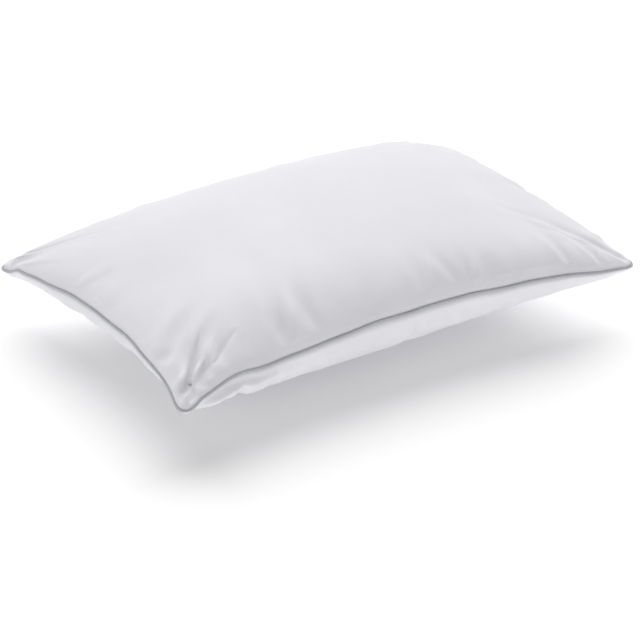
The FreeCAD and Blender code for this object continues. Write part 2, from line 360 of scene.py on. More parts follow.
folds = {
    "seed": 5,
    "perMetre": 13,  # how many short puckers stand along a metre of seam
    "length": (0.030, 0.085),
    "width": (0.0070, 0.0120),
    "depth": (0.0010, 0.0028),
    "bottomShare": 0.55,  # the underside's puckers are this much as deep
    "mostSink": 0.45,  # and none goes deeper than this share of the crown over the seam
    "leastSink": 0.0002,
    "lean": 0.27,
    "reach": 0.95,  # how near the corners they come
    "start": 0.99,  # how near the seam they start
    "sideShare": 0.45,  # how high the small waves beside a fold are, against the fold
    "sideAway": 1.6,  # and how many widths off they stand
    "widen": 0.3,
    "edgeFade": (0.0005, 0.009),
    # longer folds, listed one by one: where each starts on the cloth, as u and v of its cut, the way it heads
    # in
    # degrees from +X, its length, width and depth, and whether it rises (1) or sinks (-1)
    "top": [
        ((-0.945, -0.990), 70, 0.075, 0.0070, 0.0060, -1),
        ((-0.985, -0.960), 34, 0.085, 0.0055, 0.0040, 1),
        ((-0.990, -0.905), 35, 0.090, 0.0065, 0.0032, -1),
        ((-0.985, -0.840), 40, 0.090, 0.0090, 0.0028, 1),
        ((-0.860, -0.985), 75, 0.080, 0.0090, 0.0035, -1),
        ((-0.780, -0.985), 95, 0.090, 0.0110, 0.0030, 1),
        ((-0.985, -0.620), 25, 0.110, 0.0110, 0.0030, -1),
        ((-0.985, -0.450), 10, 0.100, 0.0120, 0.0025, 1),
        ((-0.480, -0.985), 78, 0.100, 0.0100, 0.0038, -1),
        ((-0.430, -0.985), 80, 0.110, 0.0100, 0.0036, 1),
        ((-0.330, -0.985), 96, 0.080, 0.0080, 0.0030, -1),
        ((0.060, -0.985), 80, 0.070, 0.0070, 0.0028, -1),
        ((0.190, -0.985), 100, 0.065, 0.0065, 0.0026, -1),
        ((0.260, -0.985), 84, 0.060, 0.0070, 0.0026, 1),
        ((0.640, -0.985), 88, 0.060, 0.0070, 0.0022, -1),
        ((0.965, -0.965), 128, 0.080, 0.0070, 0.0035, -1),
        ((0.965, 0.965), 225, 0.090, 0.0080, 0.0035, -1),
        ((-0.965, 0.965), -48, 0.090, 0.0075, 0.0035, -1),
        ((-0.975, 0.900), -40, 0.090, 0.0080, 0.0030, 1),
    ],
    "bottom": [
        ((-0.690, -0.985), 75, 0.070, 0.0080, 0.0026, -1),
        ((-0.500, -0.985), 95, 0.060, 0.0070, 0.0022, -1),
        ((0.050, -0.985), 85, 0.080, 0.0080, 0.0030, -1),
        ((0.400, -0.985), 92, 0.070, 0.0080, 0.0026, -1),
        ((-0.965, -0.965), 52, 0.090, 0.0080, 0.0035, -1),
        ((0.965, -0.965), 128, 0.090, 0.0080, 0.0035, -1),
        ((0.965, 0.965), 225, 0.090, 0.0080, 0.0035, -1),
        ((-0.965, 0.965), -48, 0.090, 0.0080, 0.0035, -1),
    ],
    # broad soft dents and swells: where, how wide in metres, how high
    "topSwells": [
        ((-0.74, -0.10), 0.055, -0.0045),
        ((-0.45, 0.35), 0.085, 0.0025),
        ((0.02, -0.25), 0.075, -0.0020),
        ((0.48, 0.20), 0.080, 0.0020),
        ((0.72, -0.30), 0.060, -0.0025),
        ((-0.30, -0.62), 0.045, 0.0040),
        ((0.25, -0.80), 0.045, 0.0035),
        ((-0.60, -0.58), 0.050, 0.0090),
        ((0.54, -0.90), 0.036, 0.0045),
    ],
    "bottomSwells": [
        ((-0.79, -0.93), 0.024, 0.0095),
        ((-0.62, -0.92), 0.034, 0.0050),
        ((-0.50, -0.55), 0.060, 0.0020),
        ((0.30, -0.60), 0.060, -0.0020),
        ((0.10, 0.55), 0.070, 0.0020),
        ((-0.60, 0.40), 0.060, -0.0015),
    ],
}


def ridgeHeight(a, b, fold, cut):
    # across a fold: a gaussian with a smaller one of the other sign at each side. along it: x times
    # e to the 1-x, so it starts from nothing, is highest a third of the way and dies out
    (startU, startV), heading, length, width, depth, way = fold
    turn = math.radians(heading)
    offA, offB = a - startU * cut[0] / 2, b - startV * cut[1] / 2
    along = np.clip(offA * math.cos(turn) + offB * math.sin(turn), 0, None) / (length / 3)
    wide = width * (1 - folds["widen"] + folds["widen"] * along)
    across = (offB * math.cos(turn) - offA * math.sin(turn)) / wide
    away = folds["sideAway"]
    beside = np.exp(-(across - away) ** 2) + np.exp(-(across + away) ** 2)
    bulge = np.exp(-across ** 2) - folds["sideShare"] * beside
    return way * depth * bulge * along * np.exp(1 - along)


def puckers(cut, seed):
    # short folds at uneven steps round the seam, each heading inward with a lean
    draw = np.random.default_rng(seed)
    found = []
    most, near = folds["reach"], folds["start"]
    sides = ((cut[0], 90), (cut[1], 180), (cut[0], 270), (cut[1], 0))  # length and way in, in degrees
    for side, (length, inward) in enumerate(sides):
        count = int(length * folds["perMetre"])
        steps = (np.arange(count) + draw.uniform(0.1, 0.9, count)) / count * 2 * most - most
        for step in steps:
            place = ((step, -near), (near, step), (-step, near), (-near, -step))[side]
            lean = math.degrees(folds["lean"]) * draw.normal()
            sizes = [draw.uniform(*folds[key]) for key in ("length", "width", "depth")]
            found.append((place, inward + lean, *sizes, draw.choice((-1, 1))))
    return found


def foldHeight(u, v, way):
    # every fold, pucker and swell added up on the cloth's cut, held to nothing at the sewn edge
    name = "top" if way > 0 else "bottom"
    cut = panels[name]["cutMiddle"]
    a = unspread(u)[:, None] * cut[0] / 2 + 0 * v[None, :]
    b = unspread(v)[None, :] * cut[1] / 2 + 0 * u[:, None]
    total = np.zeros_like(a)
    share = 1.0 if way > 0 else folds["bottomShare"]
    for fold in puckers(cut, folds["seed"] + way):
        total += share * ridgeHeight(a, b, fold, cut)
    for fold in folds[name]:
        total += ridgeHeight(a, b, fold, cut)
    for (placeU, placeV), size, height in folds[name + "Swells"]:
        away = (a - placeU * cut[0] / 2) ** 2 + (b - placeV * cut[1] / 2) ** 2
        total += height * np.exp(-away / (2 * size ** 2))
    crown = np.sqrt(np.clip((1 - u * u)[:, None] * (1 - v * v)[None, :], 0, 1))
    most = folds["mostSink"] * (topRise if way > 0 else bellyDepth) * crown + folds["leastSink"]
    total = np.where(total < 0, -most * np.tanh(-total / most), total)
    edge = np.minimum(cut[0] / 2 - np.abs(a), cut[1] / 2 - np.abs(b))
    return total * smoothStep(*folds["edgeFade"], edge)


def gridNormals(points):
    # the cross product of the slopes along rows and columns
    return unit(np.cross(np.gradient(points, axis=0), np.gradient(points, axis=1)))


def rimOf(rows, cols):
    # the vertex numbers round a grid's edge, in the order of the seam's points
    number = np.arange(rows * cols).reshape(rows, cols)
    return np.concatenate([number[-1, :-1], number[::-1, -1][:-1], number[0, ::-1][:-1], number[:-1, 0]])


def bandFaces(one, other):
    # joins two closed loops of vertex numbers
    return np.stack([one, np.roll(one, -1), np.roll(other, -1), other], axis=-1)


def panelGrid():
    # the rows and columns of a panel, drawn towards the seam
    rows, cols = panels["grid"]
    u = spread(np.linspace(-1, 1, rows), panels["crowd"])
    v = spread(np.linspace(-1, 1, cols), panels["crowd"])
    return u, v


def allAround(u, v, inset, lift):
    # the same loop of points as rimOf, at another inset
    one = np.ones(1)
    loopU = np.concatenate([one.repeat(len(v) - 1), u[::-1][:-1], -one.repeat(len(v) - 1), u[:-1]])
    loopV = np.concatenate([v[:-1], one.repeat(len(u) - 1), v[::-1][:-1], -one.repeat(len(u) - 1)])
    return seamPoint(loopU, loopV, inset, lift)


def makePanel(name, move, way):
    # outer face, allowance turned in behind the seam, and inner face a cloth's thickness inside
    side = panels["top" if way > 0 else "bottom"]
    u, v = panelGrid()
    outer = panelSurface(move, u, v, way)
    inner = outer - gridNormals(outer) * panels["cloth"] * way
    rows, cols = outer.shape[:2]
    near = allAround(u, v, piping["allowance"], side["seamLift"])
    far = allAround(u, v, piping["allowance"], side["seamLift"] + way * panels["cloth"])
    count = rows * cols
    rim = rimOf(rows, cols)
    nearNumbers = 2 * count + np.arange(len(rim))
    farNumbers = nearNumbers + len(rim)
    cells = gridFaces(rows, cols)
    faces = np.concatenate([
        cells, cells[:, ::-1] + count,
        bandFaces(nearNumbers, rim), bandFaces(farNumbers, nearNumbers),
        bandFaces(rim + count, farNumbers),
    ])
    if way < 0:
        faces = faces[:, ::-1]
    points = np.concatenate([outer.reshape(-1, 3), inner.reshape(-1, 3), near, far])
    middle = side["cutMiddle"]
    clothU = unspread(u)[:, None] * middle[0] / 2 + 0 * v[None, :]
    clothV = unspread(v)[None, :] * middle[1] / 2 + 0 * u[:, None]
    grid = np.stack([clothU, clothV], axis=-1).reshape(-1, 2)
    turnedIn = grid[rim] * panels["turnedInUv"]
    uv = np.concatenate([grid, grid, turnedIn, turnedIn])
    piece = newPiece(name, points, faces, uv)
    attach(piece, "root")
    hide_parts(side["node"])
    return piece


topMove = simulated(1)
bottomMove = simulated(-1)
topPanel = makePanel("topPanel", topMove, 1)
bottomPanel = makePanel("bottomPanel", bottomMove, -1)
print("cover panels made")


filling = {
    "inset": 0.075,  # the share of the half size that its two faces stop short of the seam
    "edge": 0.018,  # where they meet, in from the seam
    "gap": 0.0042,
    "slack": 2.4,  # how much wider the gap grows in the corners, which the fibre never quite fills
    "step": 2,  # of the panels' grid
    "lump": 0.0010,
    "waves": 14,
    "waveRange": (90, 420),  # radians to a metre
}


def lumpy(points, size):
    # soft lumps: a sum of sine waves that run in different directions
    total = np.zeros(points.shape[:-1])
    for wave in range(filling["waves"]):
        way = unit(rng.normal(size=3))
        total += np.sin(points @ way * rng.uniform(*filling["waveRange"]) + rng.uniform(0, 6))
    return total * size / filling["waves"] ** 0.5


def makeFilling():
    # both panels' surfaces moved in by the gap along the crown's own normals, joined at the seam sheet
    u, v = (ends[::filling["step"]] * (1 - filling["inset"]) for ends in panelGrid())
    layers = []
    for way, move in ((1, topMove), (-1, bottomMove)):
        skin = panelSurface(move, u, v, way)
        inward = gridNormals(crownPoint(u[:, None] + 0 * v, v + 0 * u[:, None], way)) * way
        gap = filling["gap"] * (1 + filling["slack"] * (u[:, None] * v) ** 4)
        layers.append(skin - inward * (gap - lumpy(skin, filling["lump"]))[..., None])
    rows, cols = layers[0].shape[:2]
    count = rows * cols
    rim = rimOf(rows, cols)
    edge = allAround(u, v, filling["edge"], 0.0)
    edgeNumbers = 2 * count + np.arange(len(rim))
    cells = gridFaces(rows, cols)
    faces = np.concatenate([
        cells, cells[:, ::-1] + count,
        bandFaces(edgeNumbers, rim), bandFaces(rim + count, edgeNumbers),
    ])
    points = np.concatenate([layers[0].reshape(-1, 3), layers[1].reshape(-1, 3), edge])
    piece = newPiece("fibreFilling", points, faces)
    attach(piece, "root")
    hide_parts("fibre_filling")
    return piece


fillPiece = makeFilling()
print("filling made")


pipeLook = {
    "stations": 1500,
    "ring": 14,
    "pucker": 0.00006,  # small ribs where the tape is gathered
    "cornerPucker": 0.00022,
    "cornerPower": 30,  # how close to the corners those keep
    "ribPitch": (0.0023, 0.0041),
    "ribShare": 0.6,
    "layersUv": (0.018, 0.030),
    "strands": 3,
    "twistPitch": 0.011,
    "strandDepth": 0.00016,
}


def runLength(points):
    # the distance along a closed loop at each of its points
    steps = np.linalg.norm(np.roll(points, -1, axis=0) - points, axis=1)
    return np.concatenate([[0.0], np.cumsum(steps)[:-1]])


def makeTape():
    # round the cord as a ring of points, then in through the allowance as two flat layers
    u, v = roundTheEdge(pipeLook["stations"] // 4)
    points, out, up, run = pipeFrames()
    openTurn = math.asin(piping["tape"] / piping["radius"])
    turns = np.linspace(-(math.pi - openTurn), math.pi - openTurn, pipeLook["ring"] * 2)
    atCorner = np.clip(np.abs(u * v) ** pipeLook["cornerPower"], 0, 1)
    fine, coarse = (2 * math.pi / pitch for pitch in pipeLook["ribPitch"])
    ribs = np.sin(run * fine) * pipeLook["ribShare"] + np.sin(run * coarse + 1.0)
    swell = ribs * (pipeLook["pucker"] + pipeLook["cornerPucker"] * atCorner)
    radius = piping["radius"] + swell[:, None] * np.cos(turns / 2)[None, :]
    ring = points + out * (radius * np.cos(turns))[..., None] + up * (radius * np.sin(turns))[..., None]
    farTop = seamPoint(u, v, piping["allowance"], piping["tape"])[:, None, :]
    farLow = seamPoint(u, v, piping["allowance"], -piping["tape"])[:, None, :]
    outside = np.concatenate([ring, farTop, farLow], axis=1)
    bore = piping["cord"] + piping["clearance"]
    boreTurns = np.linspace(0, 2 * math.pi, pipeLook["ring"] + 1)[:-1]
    inside = points + out * (bore * np.cos(boreTurns))[:, None] + up * (bore * np.sin(boreTurns))[:, None]
    faces = gridFaces(*outside.shape[:2], True, True)[:, ::-1]
    boreFaces = gridFaces(*inside.shape[:2], True, True) + outside.shape[0] * outside.shape[1]
    around = np.concatenate([turns * piping["radius"], pipeLook["layersUv"]])
    outsideUv = np.stack(np.broadcast_arrays(run[:, None], around[None, :]), axis=-1)
    insideUv = np.stack(np.broadcast_arrays(run[:, None], boreTurns[None, :] * bore), axis=-1)
    piece = newPiece(
        "pipingTape",
        np.concatenate([outside.reshape(-1, 3), inside.reshape(-1, 3)]),
        np.concatenate([faces, boreFaces]),
        np.concatenate([outsideUv.reshape(-1, 2), insideUv.reshape(-1, 2)]),
    )
    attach(piece, "root")
    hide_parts("piping_tape")
    return piece


def makeCord():
    # a round section with a few strands that turn as it runs on: the radius dips between strands
    points, out, up, run = pipeFrames()
    whole = run[-1] + np.linalg.norm(points[0] - points[-1])
    turnsAround = round(whole / pipeLook["twistPitch"])
    turns = np.linspace(0, 2 * math.pi, pipeLook["ring"] * 2 + 1)[:-1]
    phase = pipeLook["strands"] * turns[None, :] - (run / whole * turnsAround * 2 * math.pi)[:, None]
    radius = piping["cord"] - pipeLook["strandDepth"] * (1 - np.abs(np.cos(phase / 2)))
    rope = points + out * (radius * np.cos(turns))[..., None] + up * (radius * np.sin(turns))[..., None]
    faces = gridFaces(rope.shape[0], rope.shape[1], True, True)[:, ::-1]
    uv = np.stack(np.broadcast_arrays(run[:, None], turns[None, :] * piping["cord"]), axis=-1)
    piece = newPiece("pipingCord", rope, faces, uv)
    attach(piece, "root")
    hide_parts("piping_cord")
    return piece


tapePiece = makeTape()
cordPiece = makeCord()
print("piping made")


sewing = {
    "thread": 0.00015,  # radius
    "sides": 6,
    "stations": 1500,  # points along each side that the stitches are measured on
    "panelEdge": 0.00184,  # from the seam line to the panels' edges
    "seamInset": 0.0020,
    "seamPitch": 0.0035,
    "closingInset": 0.0013,
    "closingPitch": 0.0044,
    "gap": 0.00045,  # between two stitches
    "legHeight": 0.7,  # where a stitch bends over into its bar, as a share of the bar's height
    "barStart": 0.86,  # and of half its length
    "barCrown": 1.06,
    "topLevel": 0.00080,
    "lowLevel": -0.00109,
    "opening": 0.180,
    "overlap": 0.012,  # how far the closing stitches run past the opening
    "lookAhead": 0.0005,
    "overlockPitch": 0.005,
    "overlockBite": 0.004,
    "overlockSlant": 0.0012,
    "overlockPast": 0.00035,  # how far a loop passes the raw edge
    "overlockGap": 0.0003,  # how far its two ends stay apart
    # a tube's section starts square to its path and the helper, or to the spare one if they
    # are nearly parallel
    "helper": (0.13, 0.99, 0.05),
    "spareHelper": (1.0, 0.0, 0.0),
    "nearlyParallel": 0.3,
}


def evenFrames(inset, pitch, start=0.0, length=None):
    # evenly pitched places along the seam at an inset, from the right front corner on
    line = seamPoint(*roundTheEdge(sewing["stations"]), inset)
    closed = np.concatenate([line, line[:1]])
    run = np.concatenate([[0.0], np.cumsum(np.linalg.norm(np.diff(closed, axis=0), axis=1))])
    length = length or run[-1]
    count = round(length / pitch)
    want = start + length * (np.arange(count) + 0.5) / count
    here, ahead = (
        np.stack([np.interp(place % run[-1], run, closed[:, k]) for k in range(3)], axis=-1)
        for place in (want, want + sewing["lookAhead"])
    )
    along = unit(ahead - here)
    return here, along, *outAndUp(here, along)


def threadTube(path):
    # a thin tube along a few points, its section turned with the path, closed at both ends
    path = np.array(path, float)
    along = unit(np.gradient(path, axis=0))
    side = np.cross(along, np.array(sewing["helper"]))
    parallel = np.linalg.norm(side, axis=1) < sewing["nearlyParallel"]
    side[parallel] = np.cross(along[parallel], np.array(sewing["spareHelper"]))
    side = unit(side)
    other = np.cross(along, side)
    turn = np.linspace(0, 2 * math.pi, sewing["sides"] + 1)[:-1][None, :, None]
    section = side[:, None, :] * np.cos(turn) + other[:, None, :] * np.sin(turn)
    ring = path[:, None, :] + section * sewing["thread"]
    points = np.concatenate([ring.reshape(-1, 3), path[:1], path[-1:]])
    rows, cols = ring.shape[:2]
    faces = gridFaces(rows, cols, False, True)
    first = np.arange(cols)
    last = first + (rows - 1) * cols
    startCap = np.stack([np.roll(first, -1), first, np.full(cols, rows * cols)], axis=-1)
    endCap = np.stack([last, np.roll(last, -1), np.full(cols, rows * cols + 1)], axis=-1)
    return points, faces[:, ::-1], np.concatenate([startCap, endCap])[:, ::-1]


def copiesOf(template, frames):
    # the template's own x, y, z carried along, out and up at every frame
    here, along, out, up = (a[:, None, :] for a in frames)
    points, quads, caps = template
    placed = here + along * points[None, :, :1] + out * points[None, :, 1:2] + up * points[None, :, 2:3]
    shift = np.arange(len(frames[0]))[:, None, None] * len(points)
    return placed.reshape(-1, 3), (quads[None] + shift).reshape(-1, 4), (caps[None] + shift).reshape(-1, 3)


def threadPiece(name, node, runs):
    # every run's template at every one of its frames, as one mesh
    points, faces, total = [], [], 0
    for template, frames in runs:
        placed, quads, caps = copiesOf(template, frames)
        points.append(placed)
        faces += (quads + total).tolist() + (caps + total).tolist()
        total += len(placed)
    mesh = bpy.data.meshes.new(name)
    mesh.from_pydata(np.concatenate(points).tolist(), [], faces)
    mesh.polygons.foreach_set("use_smooth", np.ones(len(mesh.polygons), bool))
    piece = bpy.data.objects.new(name, mesh)
    bpy.context.scene.collection.objects.link(piece)
    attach(piece, "root")
    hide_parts(node)
    return piece


def stitch(pitch, level):
    # a bar that lies on the cloth and a leg at each end that dips to the middle of the seam
    half = (pitch - sewing["gap"]) / 2
    bar = level + math.copysign(sewing["thread"], level)
    foot = math.copysign(sewing["thread"], level)
    leg, start, crown = sewing["legHeight"], sewing["barStart"], sewing["barCrown"]
    return threadTube([
        (-half, 0, foot), (-half, 0, bar * leg), (-half * start, 0, bar), (0, 0, bar * crown),
        (half * start, 0, bar), (half, 0, bar * leg), (half, 0, foot),
    ])


def overlockLoop():
    # one loop round the raw edges: up through the bite, over the edge and back below
    top = sewing["topLevel"] + sewing["thread"]
    low = sewing["lowLevel"] - sewing["thread"]
    past, gap = -sewing["overlockPast"], sewing["overlockGap"]
    bite, slant = sewing["overlockBite"], sewing["overlockSlant"]
    return threadTube([
        (0, bite, low + gap), (0, bite, top), (slant, past, top), (slant, past, low), (-gap, bite, low),
    ])


def makeSewing():
    # the seam runs all round but for the opening, which the closing stitches cover and run past
    inset = sewing["panelEdge"] + sewing["seamInset"]
    u, v = roundTheEdge(sewing["stations"])
    line = seamPoint(u, v, inset)
    run = runLength(line)
    whole = run[-1] + np.linalg.norm(line[0] - line[-1])
    right = slice(0, sewing["stations"])
    half = sewing["opening"] / (2 * halfY)
    start, end = (float(np.interp(place, v[right], run[right])) for place in (-half, half))
    seamFrames = evenFrames(inset, sewing["seamPitch"], end, whole - end + start)
    closeFrames = evenFrames(
        sewing["panelEdge"] + sewing["closingInset"], sewing["closingPitch"],
        start - sewing["overlap"], end - start + 2 * sewing["overlap"],
    )
    edgeFrames = evenFrames(piping["allowance"], sewing["overlockPitch"])
    levels = sewing["topLevel"], sewing["lowLevel"]
    upper, lower = (stitch(sewing["seamPitch"], level) for level in levels)
    threadPiece("needleThread", "seam_needle_thread", [(upper, seamFrames)])
    threadPiece("bobbinThread", "seam_bobbin_thread", [(lower, seamFrames)])
    threadPiece("closingThread", "closing_seam_thread", [
        (stitch(sewing["closingPitch"], level), closeFrames) for level in levels
    ])
    threadPiece("overlockThread", "overlock_thread", [(overlockLoop(), edgeFrames)])


makeSewing()
print("sewing made")


label = {
    "width": 0.030,
    "drop": 0.042,
    "tail": 0.008,  # each end, sewn into the seam
    "cloth": 0.00012,
    "fold": 0.0005,  # between the two layers
    "curl": 0.0016,
    "flatShare": 0.6,  # how much of the curl across the strip is taken off again
    "curlPower": 1.5,  # how late that curl grows on the way down
    "start": -0.0008,  # how far behind the seam line it comes out
    "level": -0.00048,  # and how far below it
    "backLevel": -0.0001,
    "backDrop": 0.001,
    "grid": (90, 13),
    # shares of the strip's run: where the way down starts, the fold, and where the way up ends
    "turns": (0.12, 0.55, 0.90),
    "tails": (0.13, 0.88),  # where its ends go into the seam
    "foldSpan": (0.53, 0.57),
    "aside": 0.01,  # how far along the seam its direction is taken, as a share of half the length
}


def makeLabel():
    # a strip that leaves the seam, hangs down, turns at its fold and comes back up behind itself
    low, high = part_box("care_label")
    place = (low.x + high.x) / 2 / halfX
    here = seamPoint(place + label["aside"] * np.array([-1, 0, 1]), np.ones(3))
    upright = np.array([0, 0, 1.0])
    along = unit(here[0] - here[2])
    out = unit(np.cross(along, upright))
    down, turn, up = label["turns"]
    into, back = label["tails"]
    t = np.linspace(0, 1, label["grid"][0])
    behind = smoothStep(*label["foldSpan"], t)
    swing = np.sin(np.clip((t - into) / (turn - into), 0, 1) * math.pi / 2)
    drop = np.interp(
        t, [0, down, turn, up, 1], [0, 0, label["drop"], label["backDrop"], label["backDrop"]],
    )
    tail = np.interp(t, [0, into, back, 1], [-label["tail"], 0, 0, -label["tail"]])
    curl = label["curl"] * swing * (drop / label["drop"]) ** 2
    outward = label["start"] + tail + curl - behind * label["fold"]
    height = label["level"] + label["backLevel"] * behind - drop
    across = np.linspace(-0.5, 0.5, label["grid"][1]) * label["width"]
    bow = label["curl"] * (np.cos(across / label["width"] * math.pi) - label["flatShare"])
    hang = (drop / label["drop"])[:, None] ** label["curlPower"]
    points = (
        here[1]
        + out * (outward[:, None] + bow * hang)[..., None]
        + upright * (height[:, None] + 0 * across)[..., None]
        + along * (across + 0 * t[:, None])[..., None]
    )
    steps = np.linalg.norm(np.diff(points[:, len(across) // 2], axis=0), axis=1)
    length = np.concatenate([[0], np.cumsum(steps)])
    uv = np.stack(np.broadcast_arrays(across[None, :], length[:, None]), axis=-1)
    piece = newPiece("careLabel", points, gridFaces(len(t), len(across)), uv)
    solid = piece.modifiers.new("thickness", "SOLIDIFY")
    solid.thickness = label["cloth"]
    solid.offset = 0
    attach(piece, "root")
    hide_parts("care_label")
    return piece


labelPiece = makeLabel()
print("label made")


def newMaterial(name):
    # an empty material with one principled shader joined to its output
    material = bpy.data.materials.new(name)
    material.use_nodes = True
    nodes, links = material.node_tree.nodes, material.node_tree.links
    nodes.clear()
    output = nodes.new("ShaderNodeOutputMaterial")
    shader = nodes.new("ShaderNodeBsdfPrincipled")
    links.new(shader.outputs["BSDF"], output.inputs["Surface"])
    return material, nodes, links, shader


def node(nodes, kind, inputs=None, **settings):
    # a shader node with its settings and its inputs filled in
    made = nodes.new(kind)
    for key, value in settings.items():
        setattr(made, key, value)
    for key, value in (inputs or {}).items():
        made.inputs[key].default_value = value
    return made


weaveLook = {
    # what every woven material shares
    "waver": 0.6,
    "threadHeight": 0.3,  # in pitches
    "slubHeight": 0.0004,
    "slubShare": 0.35,  # how much of the shade follows the slubs
    "shadeSpan": (0.45, 0.85),  # where the shade starts and stops changing
    "slubDetail": (3.0, 0.6),
    "shadeDetail": (4.0, 0.55),
    "sheenRough": 0.45,
}


def wovenBands(nodes, links, pitch, source, direction):
    # thin bands across the cloth's own UV, one to each thread: the wave repeats every 0.31416 / scale
    mapping = node(nodes, "ShaderNodeMapping", {"Rotation": (0, 0, direction)})
    wave = node(nodes, "ShaderNodeTexWave", {
        "Scale": math.pi / 10 / pitch, "Distortion": weaveLook["waver"], "Detail": 1.0,
    })
    wave.bands_direction = "X"
    links.new(source, mapping.inputs["Vector"])
    links.new(mapping.outputs["Vector"], wave.inputs["Vector"])
    return wave


def clothMaterial(name, look):
    # two sets of threads crossed for the weave, soft slubs along them, and slow changes of shade
    material, nodes, links, shader = newMaterial(name)
    uv = node(nodes, "ShaderNodeTexCoord")
    source = uv.outputs["UV"]
    warp = wovenBands(nodes, links, look["pitch"], source, look["turn"])
    weft = wovenBands(nodes, links, look["pitch"] * look["weftShare"], source, look["turn"] + math.pi / 2)
    weave = node(nodes, "ShaderNodeMath", operation="MULTIPLY")
    links.new(warp.outputs["Fac"], weave.inputs[0])
    links.new(weft.outputs["Fac"], weave.inputs[1])
    slubMap = node(nodes, "ShaderNodeMapping", {"Scale": look["slubScale"], "Rotation": (0, 0, look["turn"])})
    detail, rough = weaveLook["slubDetail"]
    slub = node(nodes, "ShaderNodeTexNoise", {"Scale": 1.0, "Detail": detail, "Roughness": rough})
    links.new(source, slubMap.inputs["Vector"])
    links.new(slubMap.outputs["Vector"], slub.inputs["Vector"])
    detail, rough = weaveLook["shadeDetail"]
    shade = node(nodes, "ShaderNodeTexNoise", {
        "Scale": look["shadeScale"], "Detail": detail, "Roughness": rough,
    })
    links.new(uv.outputs["Object"], shade.inputs["Vector"])
    mix = node(nodes, "ShaderNodeMath", operation="MULTIPLY_ADD")
    mix.inputs[1].default_value = weaveLook["slubShare"]
    links.new(slub.outputs["Fac"], mix.inputs[0])
    links.new(shade.outputs["Fac"], mix.inputs[2])
    ramp = node(nodes, "ShaderNodeValToRGB")
    for stop, place, shadeName in zip(ramp.color_ramp.elements, weaveLook["shadeSpan"], ("dark", "light")):
        stop.position = place
        stop.color = (*look[shadeName], 1)
    links.new(mix.outputs["Value"], ramp.inputs["Fac"])
    links.new(ramp.outputs["Color"], shader.inputs["Base Color"])
    rough = node(nodes, "ShaderNodeMapRange", {"To Min": look["rough"][0], "To Max": look["rough"][1]})
    links.new(slub.outputs["Fac"], rough.inputs["Value"])
    links.new(rough.outputs["Result"], shader.inputs["Roughness"])
    fine = node(nodes, "ShaderNodeBump", {
        "Strength": look["weaveBump"], "Distance": look["pitch"] * weaveLook["threadHeight"],
    })
    soft = node(nodes, "ShaderNodeBump", {
        "Strength": look["slubBump"], "Distance": weaveLook["slubHeight"],
    })
    links.new(weave.outputs["Value"], fine.inputs["Height"])
    links.new(slub.outputs["Fac"], soft.inputs["Height"])
    links.new(soft.outputs["Normal"], fine.inputs["Normal"])
    links.new(fine.outputs["Normal"], shader.inputs["Normal"])
    shader.inputs["Sheen Weight"].default_value = look["sheen"]
    shader.inputs["Sheen Roughness"].default_value = weaveLook["sheenRough"]
    shader.inputs["Specular IOR Level"].default_value = look["specular"]
    return material


coverLook = {
    "pitch": 0.00035, "weftShare": 1.3, "turn": 0.0, "slubScale": (60, 900, 1), "shadeScale": 9.0,
    "dark": (0.785, 0.782, 0.815), "light": (0.820, 0.817, 0.850), "rough": (0.50, 0.62),
    "weaveBump": 0.75, "slubBump": 0.05, "sheen": 0.04, "specular": 0.25,
}
pipingLook = {
    "pitch": 0.00045, "weftShare": 1.0, "turn": math.pi / 4, "slubScale": (250, 1200, 1), "shadeScale": 30.0,
    "dark": (0.44, 0.45, 0.48), "light": (0.53, 0.54, 0.57), "rough": (0.65, 0.8),
    "weaveBump": 1.0, "slubBump": 0.2, "sheen": 0.25, "specular": 0.3,
}
cordLook = {
    "pitch": 0.0006, "weftShare": 1.6, "turn": 0.9, "slubScale": (300, 900, 1), "shadeScale": 40.0,
    "dark": (0.60, 0.56, 0.47), "light": (0.74, 0.70, 0.61), "rough": (0.8, 0.92),
    "weaveBump": 0.6, "slubBump": 0.5, "sheen": 0.2, "specular": 0.2,
}
labelLook = {
    "pitch": 0.0003, "weftShare": 2.5, "turn": 0.0, "slubScale": (900, 90, 1), "shadeScale": 25.0,
    "dark": (0.80, 0.80, 0.79), "light": (0.88, 0.88, 0.87), "rough": (0.28, 0.4),
    "weaveBump": 0.2, "slubBump": 0.1, "sheen": 0.1, "specular": 0.5,
}


fibreLook = {
    # what threads and filling share
    "tangleDetail": (8.0, 0.75, 1.5),
    "strandShare": 2.2,  # how much finer the strands are than the tangle
    "bumpHeight": 0.001,
    "rough": 0.9,
    "sheen": 0.3,
}


